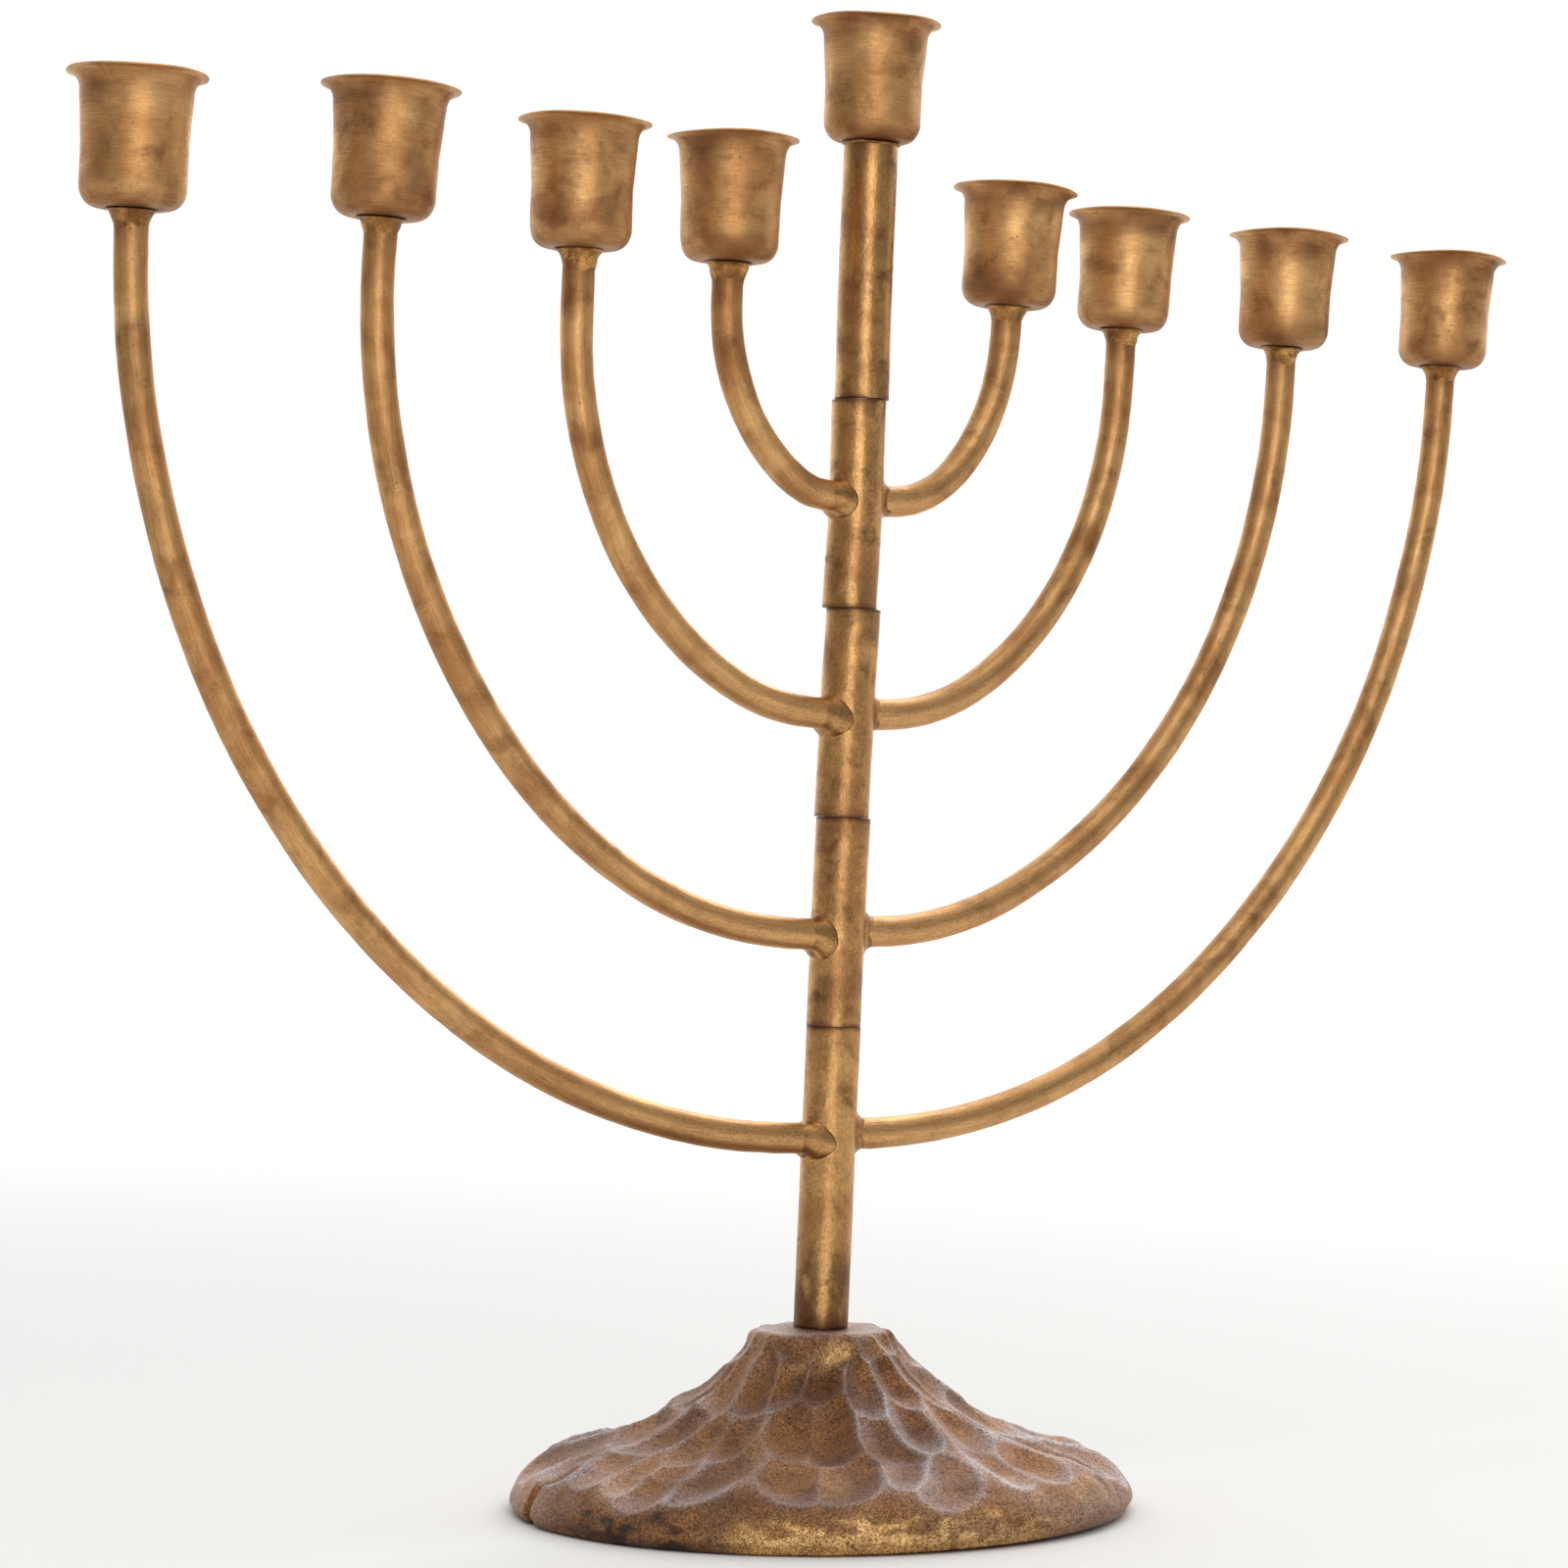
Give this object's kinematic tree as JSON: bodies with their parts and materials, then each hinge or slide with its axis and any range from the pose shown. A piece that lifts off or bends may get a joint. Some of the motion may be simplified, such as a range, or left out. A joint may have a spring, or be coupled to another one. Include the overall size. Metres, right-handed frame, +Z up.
{
  "type": "menorah",
  "caption": "Hanukkah menorah in aged brass: bent rod arms with flared candle cups, brazed to a stack of swivelling column bars on a round cast base.",
  "frame": {"origin": "middle of the face that the lamp stands on", "axes": "+Z up; +X along the widest pair of arms, towards the right cup as seen from the front (-Y)"},
  "size_m": [0.4607, 0.1594, 0.3818],
  "materials": {
    "aged_brass": "antiqued satin brass, brown patina in the hollows and rubbed brighter along the middle",
    "braze": "rough, darkened brazing metal",
    "cast_brass": "sand-cast brass with a brown patina, pale dusty ridges and gold wear at the rim",
    "felt": "pressed felt",
    "pin_steel": "dull drawn steel"
  },
  "bodies": {
    "base": {"base_casting": "cast_brass", "base_pad": "felt"},
    "foot_pin": {"foot_pin": "pin_steel"},
    "tier_1": {"tier_1_hub": "aged_brass", "tier_1_left_arm": "aged_brass", "tier_1_right_arm": "aged_brass", "tier_1_left_cup": "aged_brass", "tier_1_right_cup": "aged_brass", "tier_1_arm_brazes": "braze", "tier_1_cup_brazes": "braze"},
    "tier_1_pin": {"tier_1_pin": "pin_steel"},
    "tier_2": {"tier_2_hub": "aged_brass", "tier_2_left_arm": "aged_brass", "tier_2_right_arm": "aged_brass", "tier_2_left_cup": "aged_brass", "tier_2_right_cup": "aged_brass", "tier_2_arm_brazes": "braze", "tier_2_cup_brazes": "braze"},
    "tier_2_pin": {"tier_2_pin": "pin_steel"},
    "tier_3": {"tier_3_hub": "aged_brass", "tier_3_left_arm": "aged_brass", "tier_3_right_arm": "aged_brass", "tier_3_left_cup": "aged_brass", "tier_3_right_cup": "aged_brass", "tier_3_arm_brazes": "braze", "tier_3_cup_brazes": "braze"},
    "tier_3_pin": {"tier_3_pin": "pin_steel"},
    "tier_4": {"tier_4_hub": "aged_brass", "tier_4_left_arm": "aged_brass", "tier_4_right_arm": "aged_brass", "tier_4_left_cup": "aged_brass", "tier_4_right_cup": "aged_brass", "tier_4_arm_brazes": "braze", "tier_4_cup_brazes": "braze"},
    "tier_4_pin": {"tier_4_pin": "pin_steel"},
    "server": {"server_stem": "aged_brass", "server_cup": "aged_brass", "server_braze": "braze"}
  },
  "joints": [
    {"name": "tier_1_swivel", "type": "hinge", "parent": "base", "child": "foot_pin", "pos_m": [0, 0, 0.0463], "axis": [0.0338, -0.0265, 0.9991], "continuous": true},
    {"name": "tier_1_lift", "type": "slide", "parent": "foot_pin", "child": "tier_1", "axis": [0.0338, -0.0265, 0.9991], "range_m": [0, 0.025]},
    {"name": "tier_2_swivel", "type": "hinge", "parent": "tier_1", "child": "tier_1_pin", "pos_m": [0.00261, -0.00204, 0.12343], "axis": [0.0338, -0.0265, 0.9991], "continuous": true},
    {"name": "tier_2_lift", "type": "slide", "parent": "tier_1_pin", "child": "tier_2", "axis": [0.0338, -0.0265, 0.9991], "range_m": [0, 0.025]},
    {"name": "tier_3_swivel", "type": "hinge", "parent": "tier_2", "child": "tier_2_pin", "pos_m": [0.00441, -0.00346, 0.17688], "axis": [0.0338, -0.0265, 0.9991], "continuous": true},
    {"name": "tier_3_lift", "type": "slide", "parent": "tier_2_pin", "child": "tier_3", "axis": [0.0338, -0.0265, 0.9991], "range_m": [0, 0.025]},
    {"name": "tier_4_swivel", "type": "hinge", "parent": "tier_3", "child": "tier_3_pin", "pos_m": [0.00622, -0.00488, 0.23033], "axis": [0.0338, -0.0265, 0.9991], "continuous": true},
    {"name": "tier_4_lift", "type": "slide", "parent": "tier_3_pin", "child": "tier_4", "axis": [0.0338, -0.0265, 0.9991], "range_m": [0, 0.025]},
    {"name": "server_swivel", "type": "hinge", "parent": "tier_4", "child": "tier_4_pin", "pos_m": [0.00803, -0.0063, 0.28378], "axis": [0.0338, -0.0265, 0.9991], "continuous": true},
    {"name": "server_lift", "type": "slide", "parent": "tier_4_pin", "child": "server", "axis": [0.0338, -0.0265, 0.9991], "range_m": [0, 0.025]}
  ]
}
